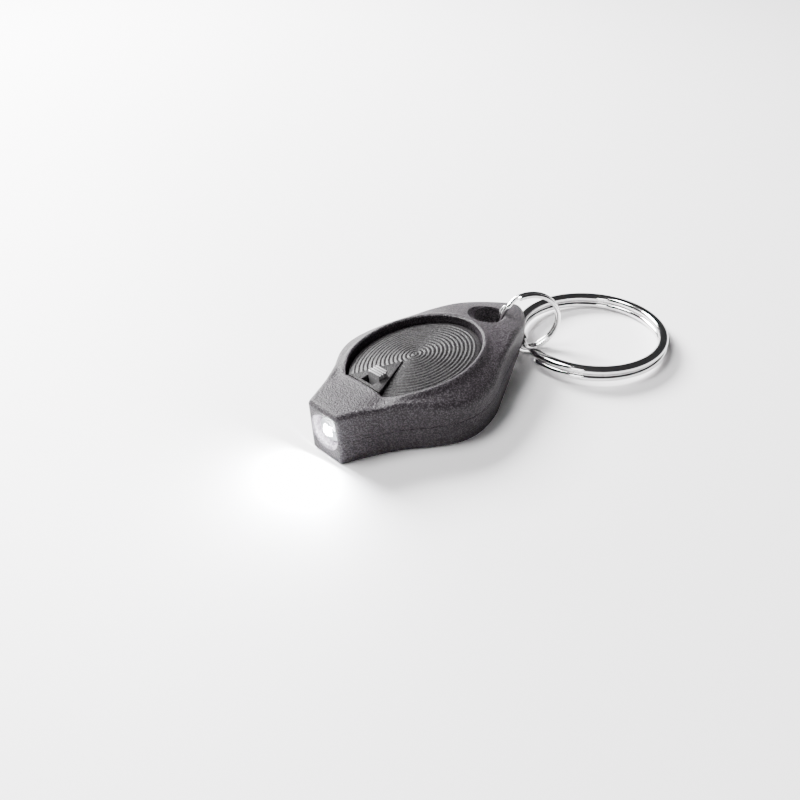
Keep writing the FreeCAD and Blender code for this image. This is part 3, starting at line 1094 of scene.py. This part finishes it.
@dataclass
class Button(Part):
    """The press button: an oval dome with concentric ridges and the raised slide track.

    Attributes:
        gap: room between the button and its opening.
        under_z: height of its underside.
        edge_z: height of the dome's edge.
        crown_z: height of the dome's middle.
        flange: how far the flange reaches past the opening.
        flange_z: top of the flange.
        ridges: number of concentric ridges.
        ridge_height: height of a ridge.
        plain_edge: share of the button inside its plain edge.
        track_z: top of the slide's track.
        track_half: half the track's width at the front.
        track_apex: the track's rear tip.
        slot: front, rear and half width of the slide's slot.
        pocket: front, rear, half width and top of the pocket for the slide's foot.
        count: points in each loop.
    """

    gap: float = 0.35
    under_z: float = 6.5
    edge_z: float = 8.0
    crown_z: float = 8.85
    flange: float = 0.25
    flange_z: float = 7.0
    ridges: int = 15
    ridge_height: float = 0.1
    plain_edge: float = 0.95
    track_z: float = 8.95
    track_half: float = 3.45
    track_apex: float = -2.6
    slot: tuple[float, float, float] = (-10.15, -6.9, 1.25)
    pocket: tuple[float, float, float, float] = (-10.2, -5.9, 1.95, 7.42)
    count: int = 168
    body = "button"

    def oval(self, share: float, z: float, grow: float = 0.0) -> list[Point]:
        """Draw an oval loop.

        Args:
            share: its share of the button's size.
            z: its height.
            grow: how much wider it is drawn.

        Returns:
            The loop's points.
        """
        a, b = BODY.opening_a - self.gap, BODY.opening_b - self.gap
        turns = [2 * math.pi * index / self.count for index in range(self.count)]
        return [((a * share + grow) * math.cos(t), (b * share + grow) * math.sin(t), z) for t in turns]

    def dome(self, share: float) -> float:
        """Give the dome's height at a share of the way to its edge."""
        return mix(self.crown_z, self.edge_z, share ** 1.6)

    def plate(self) -> bpy.types.Object:
        """Model the oval plate with its flange and ridges.

        Returns:
            The plate.
        """
        skin = LoopSkin("press_button_cap", self.count)
        for share in (0.04, 0.5, 1.0):
            skin.loop(self.oval(share, self.under_z))
        grow = self.gap + self.flange
        for z, out in ((self.under_z, grow), (self.flange_z, grow), (self.flange_z, 0.0)):
            skin.loop(self.oval(1.0, z, out))
        top = self.dome(1.0)
        for inset, fall in ((0.0, 0.28), (0.02, 0.16), (0.07, 0.06), (0.15, 0.01)):
            skin.loop(self.oval(1.0, top - fall, -inset))
        pitch = self.plain_edge / self.ridges
        for ridge in range(self.ridges):
            for step, rise in ((0.0, 0.0), (0.18, 0.1), (0.36, 0.75), (0.55, 1.0), (0.74, 0.75), (0.9, 0.1)):
                share = self.plain_edge - (ridge + step) * pitch
                skin.loop(self.oval(share, self.dome(share) + self.ridge_height * (rise - 0.5)))
        skin.loop(self.oval(0.012, self.dome(0.0)))
        return skin.finish(closed=False)

    def track(self) -> bpy.types.Object:
        """Model the raised wedge that carries the slide.

        Returns:
            The wedge.
        """
        front = BODY.opening_front - 0.5
        skin = LoopSkin("slide_track", 3)
        for z in (self.under_z + 0.3, self.track_z):
            half = self.track_half * 1.06
            skin.loop([(front, -half, z), (self.track_apex, 0, z), (front, half, z)])
        piece = skin.finish(closed=False)
        apply(piece, "BEVEL", width=0.09 * MM, segments=3, limit_method="ANGLE")
        return piece

    def build(self) -> None:
        """Model and hand over the button."""
        piece = self.plate()
        carve(piece, self.track(), "UNION")
        low, high = 6, 11
        front, rear, half = self.slot
        carve(piece, block("slot_tool", (front, -half, low), (rear, half, high)))
        front, rear, half, top = self.pocket
        carve(piece, block("pocket_tool", (front, -half, low), (rear, half, top)))
        take(piece)
        bpy.ops.object.mode_set(mode="EDIT")
        bpy.ops.mesh.select_all(action="SELECT")
        bpy.ops.mesh.bisect(plane_co=((BODY.opening_front + self.gap / 2) * MM, 0, 0), plane_no=(1, 0, 0),
                            use_fill=True, clear_inner=True)
        bpy.ops.object.mode_set(mode="OBJECT")
        smooth(piece, math.radians(40))
        self.hand_over(piece, "button_plastic", "press_button")


@dataclass
class LockSlide(Part):
    """The small ribbed slide in the button's track.

    Attributes:
        rear: rear of the grip.
        length: the grip's length.
        half: half the grip's width.
        top: top of the ribs.
        foot_rear: rear of the foot.
        foot_half: half the foot's width.
        foot_top: top of the foot.
        foot_bottom: bottom of the foot.
        ribs: number of ribs.
        rib_height: height of a rib.
        flute: depth of the fine flutes in the grip's front and sides.
        flute_low: lower end of the flutes.
        flute_drop: how far below the ribs the flutes end.
    """

    rear: float = -7.0
    length: float = 1.75
    half: float = 1.15
    top: float = 9.9
    foot_rear: float = -6.15
    foot_half: float = 1.7
    foot_top: float = 7.35
    foot_bottom: float = 6.85
    ribs: int = 4
    rib_height: float = 0.26
    flute: float = 0.09
    flute_low: float = 9.0
    flute_drop: float = 0.35
    body = "slide"

    def add_ribs(self, piece: bpy.types.Object, front: float) -> None:
        """Join the ribs on to the grip.

        Args:
            piece: the grip.
            front: the grip's front.
        """
        pitch = self.length / (2 * self.ribs - 1)
        foot = self.top - self.rib_height - 0.2
        for index in range(self.ribs):
            start = front + 2 * index * pitch
            rib = block("rib", (start, -self.half, foot), (start + pitch, self.half, self.top), bevel=0.05)
            carve(piece, rib, "UNION")

    def cut_flutes(self, piece: bpy.types.Object, front: float) -> None:
        """Cut the fine upright flutes into the grip's front and sides.

        Args:
            piece: the grip.
            front: the grip's front.
        """
        high = self.top - self.flute_drop
        for index in range(5):
            y = (index - 2) * 0.46
            low_corner = (front - 0.5, y - self.flute, self.flute_low)
            carve(piece, block("flute", low_corner, (front + self.flute, y + self.flute, high)))
        for index in range(3):
            x = front + (index + 0.75) * self.length / 3.4
            for side in (-1, 1):
                near, far = sorted((side * (self.half - self.flute), side * (self.half + 0.5)))
                carve(piece, block("flute", (x, near, self.flute_low), (x + 0.17, far, high)))

    def build(self) -> None:
        """Model the grip, its ribs and flutes, add the foot, and hand the slide over."""
        front = self.rear - self.length
        top = self.top - self.rib_height
        piece = block("lock_slide_grip", (front, -self.half, self.foot_top), (self.rear, self.half, top))
        self.add_ribs(piece, front)
        self.cut_flutes(piece, front)
        foot = block("foot", (front, -self.foot_half, self.foot_bottom),
                     (self.foot_rear, self.foot_half, self.foot_top + 0.01), bevel=0.06)
        carve(piece, foot, "UNION")
        smooth(piece)
        self.hand_over(piece, "slide_plastic", "lock_slide")


@dataclass
class Led(Part):
    """The LED's clear body. Its leads, chip and bond wire are the CAD's own.

    Attributes:
        z: height of its axis.
        tip: tip of the dome.
        back: rear face.
        radius: radius of the dome and barrel.
        flange_radius: radius of the flange.
        flange: thickness of the flange.
    """

    z: float = 4.45
    tip: float = -18.85
    back: float = -11.0
    radius: float = 2.5
    flange_radius: float = 2.85
    flange: float = 0.9
    body = "casing"

    def build(self) -> None:
        """Model the domed lens with its flange and hand it over."""
        profile = [(self.tip + self.radius * (1 - math.cos(turn)), self.radius * math.sin(turn))
                   for turn in [math.pi / 2 * (index + 0.25) / 14 for index in range(14)]]
        shoulder = self.back - self.flange
        profile += [(self.tip + self.radius, self.radius), (-14.0, self.radius), (shoulder, self.radius),
                    (shoulder, self.flange_radius - 0.05), (shoulder + 0.05, self.flange_radius),
                    (self.back - 0.05, self.flange_radius), (self.back, self.flange_radius - 0.05)]
        piece = turned("led_lens_body", profile, 64, lengthways(self.z))
        smooth(piece)
        self.hand_over(piece, "led_epoxy", "led_lens")


@dataclass
class SplitRing(Part):
    """A split ring: one wire wound twice, crossing from turn to turn in a short joggle.

    Attributes:
        node: the CAD node it stands for.
        ring_body: its body.
        centre: the ring's middle.
        axis: the ring's own axis.
        outer: outside radius.
        band: the wire's width towards the middle.
        turn: the wire's height along the axis.
        corner: round of the wire's corners.
        joggle_at: where the turns cross, in degrees.
        joggle: how long the crossing is, in degrees.
        stations: loops along the wire.
    """

    node: str
    ring_body: str
    centre: Point
    axis: Vector
    outer: float
    band: float
    turn: float
    corner: float
    joggle_at: float
    joggle: float
    stations: int = 220

    def section(self) -> list[tuple[float, float]]:
        """Draw the wire's rounded section.

        Returns:
            Its points as (towards the middle, along the axis).
        """
        half_band, half_turn = self.band / 2, self.turn / 2
        points = []
        for quarter, (u, v) in enumerate(((1, 1), (-1, 1), (-1, -1), (1, -1))):
            for step in range(4):
                angle = math.pi / 2 * (quarter + step / 3)
                points.append((u * (half_band - self.corner) + self.corner * math.cos(angle),
                               v * (half_turn - self.corner) + self.corner * math.sin(angle)))
        return points

    def build(self) -> None:
        """Wind the wire and hand the ring over."""
        section = self.section()
        skin = LoopSkin(self.node + "_wire", len(section))
        towards = Vector((0, 0, 1)).rotation_difference(self.axis).to_matrix()
        start, sweep = math.radians(self.joggle_at), math.radians(self.joggle)
        total = 4 * math.pi - 1.15 * sweep
        for index in range(self.stations + 1):
            reach = total * index / self.stations
            climb = ease((reach - (2 * math.pi - 1.08 * sweep)) / sweep)
            lift = mix(-self.turn / 2, self.turn / 2, climb)
            shrink = 1 - 0.25 * ease(1 - min(reach, total - reach) / 0.01)
            angle = start + 0.04 * sweep + reach
            loop = []
            for inward, up in section:
                radius = self.outer - self.band / 2 + inward * shrink
                spot = Vector((radius * math.cos(angle), radius * math.sin(angle), lift + up * shrink * 0.985))
                loop.append(towards @ spot + Vector(self.centre))
            skin.loop(loop)
        piece = skin.finish(closed=False)
        smooth(piece, math.radians(50))
        self.hand_over(piece, "ring_chrome", self.node, body=self.ring_body)


@dataclass
class CaseScrews(Part):
    """The four self-tapping screws that close the body from below.

    Attributes:
        heads: (x, height of the head's face) of each pair.
        y: how far they stand from the middle.
        head_height: height of a head.
        head_radius: radius of a head.
        shank_radius: radius over the thread.
        tip_z: height of the points.
        pitch: the thread's pitch.
    """

    heads: tuple[tuple[float, float], ...] = ((-10.6, 0.45), (10.6, 1.0))
    y: float = 5.6
    head_height: float = 0.8
    head_radius: float = 1.05
    shank_radius: float = 0.6
    tip_z: float = 6.2
    pitch: float = 0.5
    body = "casing"

    def screw(self, x: float, y: float, head_z: float) -> bpy.types.Object:
        """Model one screw: head, thread, point and cross recess.

        Args:
            x: place along the body.
            y: place across the body.
            head_z: height of the head's face.

        Returns:
            The screw.
        """
        top = head_z + self.head_height
        profile = [(head_z, self.head_radius - 0.12), (head_z + 0.1, self.head_radius),
                   (top - 0.05, self.head_radius), (top, self.head_radius - 0.1), (top, self.shank_radius * 0.8)]
        for index in range(int((self.tip_z - 0.6 - top) / self.pitch)):
            z = top + 0.1 + index * self.pitch
            profile += [(z, self.shank_radius * 0.75), (z + self.pitch * 0.45, self.shank_radius),
                        (z + self.pitch * 0.6, self.shank_radius)]
        profile += [(self.tip_z - 0.4, self.shank_radius * 0.7), (self.tip_z, 0.08)]
        piece = turned("case_screw_set", profile, 32, upright(x, y))
        for wide, deep in ((0.62, 0.13), (0.13, 0.62)):
            carve(piece, block("recess", (x - wide, y - deep, -1), (x + wide, y + deep, head_z + 0.45)))
        smooth(piece)
        return piece

    def build(self) -> None:
        """Model the four screws, join them, and hand them over as one piece."""
        first, *others = [self.screw(x, y, head_z) for x, head_z in self.heads for y in (-self.y, self.y)]
        take(first)
        for other in others:
            other.select_set(True)
        bpy.ops.object.join()
        self.hand_over(first, "screw_steel", "case_screws")


# ---------------------------------------------------------------- stage

@dataclass(frozen=True)
class Lamp:
    """One soft area light.

    Attributes:
        name: the light's name.
        place: where it hangs, in millimetres.
        aim: what it points at.
        size: its width.
        power: in watts.
        colour: its colour.
    """

    name: str
    place: Point
    aim: Point
    size: float
    power: float
    colour: Colour = (1, 1, 1)

    def hang(self) -> None:
        """Hang the light and point it."""
        data = bpy.data.lights.new(self.name, "AREA")
        data.size = self.size * MM
        data.energy = self.power
        data.color = self.colour
        lamp = bpy.data.objects.new(self.name, data)
        bpy.context.scene.collection.objects.link(lamp)
        lamp.location = Vector(self.place) * MM
        lamp.rotation_euler = (Vector(self.aim) - Vector(self.place)).to_track_quat("-Z", "Y").to_euler()


# The key stands behind on the left. The last two are the LED's beam and the light inside its nose
LAMPS = (
    Lamp("key", (20, 360, 255), (5, 0, 5), 190, 14.0),
    Lamp("top", (-120, 120, 420), (5, 0, 5), 150, 3.0),
    Lamp("fill", (-360, -160, 160), (0, 0, 5), 120, 0.5),
    Lamp("beam", (-21, 0, 4.6), (-60, -6, -4), 4, 0.045, (0.94, 0.97, 1.0)),
    Lamp("glare", (-19.3, 0, 4.45), (-14, 0, 4.45), 3, 0.014, (0.94, 0.97, 1.0)),
)


@dataclass
class Studio:
    """Floor, soft lights and camera.

    Attributes:
        target: the point that the camera stands off from, in millimetres.
        distance: how far it stands off.
        azimuth: its turn about Z, in degrees.
        elevation: its height, in degrees.
        roll: its roll, in degrees.
        lens: focal length.
        shift: the lens's shift.
        glow_band: the world's light falls from the third to the fourth number as Z rises over the first two.
    """

    target: Point = (-7.6, -7.35, 8.65)
    distance: float = 132.0
    azimuth: float = -42.2
    elevation: float = 37.1
    roll: float = -3.1
    lens: float = 40.5
    shift: tuple[float, float] = (-0.01625, -0.005)
    glow_band: tuple[float, float, float, float] = (0.06, 0.34, 0.42, 0.045)

    def floor(self) -> None:
        """Lay a plain pale floor."""
        deselect()
        bpy.ops.mesh.primitive_plane_add(size=3.0, location=(0, 0, -0.02 * MM))
        floor = bpy.context.object
        floor.name = "floor"
        bench = NodeBench("pale_floor")
        place = bench.add("ShaderNodeTexCoord").outputs["Object"]
        grain = bench.add("ShaderNodeTexNoise", Vector=place, Scale=900.0, Detail=4.0).outputs[0]
        bump = bench.add("ShaderNodeBump", Strength=0.2, Distance=0.02 * MM, Height=grain)
        shader = bench.add("ShaderNodeBsdfPrincipled", Base_Color=(0.86, 0.85, 0.86, 1.0), Roughness=0.55,
                           Normal=bump.outputs[0])
        bench.put(bench.output.inputs[0], shader.outputs[0])
        floor.data.materials.append(bench.material)

    def world(self) -> None:
        """Surround the object with a soft light that is brighter near the horizon."""
        world = bpy.data.worlds.new("studio")
        bpy.context.scene.world = world
        world.use_nodes = True
        tree = world.node_tree
        view = tree.nodes.new("ShaderNodeTexCoord")
        split = tree.nodes.new("ShaderNodeSeparateXYZ")
        band = tree.nodes.new("ShaderNodeMapRange")
        band.interpolation_type = "SMOOTHSTEP"
        for socket, value in zip(band.inputs[1:5], self.glow_band):
            socket.default_value = value
        tree.links.new(view.outputs["Generated"], split.inputs[0])
        tree.links.new(split.outputs["Z"], band.inputs[0])
        tree.links.new(band.outputs[0], tree.nodes["Background"].inputs[1])
        tree.nodes["Background"].inputs[0].default_value = (0.93, 0.93, 0.96, 1.0)

    def camera(self) -> None:
        """Place the camera at the wanted angle and distance."""
        turn, lift = math.radians(self.azimuth), math.radians(self.elevation)
        back = Vector((math.sin(turn) * math.cos(lift), -math.cos(turn) * math.cos(lift), math.sin(lift)))
        right = Vector((math.cos(turn), math.sin(turn), 0))
        up = back.cross(right)
        data = bpy.data.cameras.new("camera")
        data.lens = self.lens
        data.sensor_width = 36.0
        data.shift_x, data.shift_y = self.shift
        data.clip_start = 0.005
        camera = bpy.data.objects.new("camera", data)
        bpy.context.scene.collection.objects.link(camera)
        axes = Matrix((right, up, back)).transposed()
        spun = Matrix.Rotation(math.radians(self.roll), 3, back) @ axes
        camera.matrix_world = Matrix.Translation((Vector(self.target) + back * self.distance) * MM) @ spun.to_4x4()
        bpy.context.scene.camera = camera

    def build(self) -> None:
        """Set the whole stage."""
        self.floor()
        for lamp in LAMPS:
            lamp.hang()
        self.world()
        self.camera()


# ---------------------------------------------------------------- assembly

def ring_axis(turn: float, lean: float) -> Vector:
    """Find the axis of a ring that is turned about Z and leans back.

    Args:
        turn: the turn, in degrees.
        lean: the lean, in degrees.

    Returns:
        The axis.
    """
    turn, lean = math.radians(turn), math.radians(lean)
    return Vector((math.sin(turn) * math.cos(lean), -math.cos(turn) * math.cos(lean), math.sin(lean)))


def dress_cad_nodes(dresser: Dresser) -> None:
    """Give every CAD node its slot's finish, so that none keeps a flat colour.

    Args:
        dresser: puts the finishes on them.
    """
    for entry in frame["record"]["subparts"]:
        dresser.dress_node(entry["node"], entry["material_slot"])
        LOG.info("%s: CAD node, %s", entry["node"], entry["material_slot"])


def key_ring_centre() -> Point:
    """Read the key ring's middle from its CAD box.

    Returns:
        The middle, in millimetres.
    """
    low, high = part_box("key_ring")
    return tuple((low + high) / 2 / MM)


def rings(dresser: Dresser) -> list[SplitRing]:
    """Set out the small ring through the tail and the key ring that hangs on it.

    Args:
        dresser: puts the finishes on them.

    Returns:
        The two rings.
    """
    tilt = math.radians(2.68)
    small = SplitRing(dresser, "small_ring", "small_ring", (22.83, -3.77, 5.61), ring_axis(-33.2, -0.1),
                      outer=5.6, band=0.76, turn=0.7, corner=0.31, joggle_at=104.0, joggle=24.0)
    axis = Vector((math.sin(tilt), 0, math.cos(tilt)))
    key = SplitRing(dresser, "key_ring", "key_ring", key_ring_centre(), axis, outer=12.99, band=1.65, turn=1.25,
                    corner=0.6, joggle_at=170.0, joggle=18.0, stations=300)
    return [small, key]


def main() -> None:
    """Build the looks in order."""
    logging.basicConfig(level=logging.INFO, format="%(message)s")
    dresser = Dresser()
    Studio().build()
    dress_cad_nodes(dresser)
    for part in (Shells(dresser), Button(dresser), LockSlide(dresser), Led(dresser), *rings(dresser),
                 CaseScrews(dresser)):
        part.build()
    deselect()


if __name__ == "__main__":
    main()
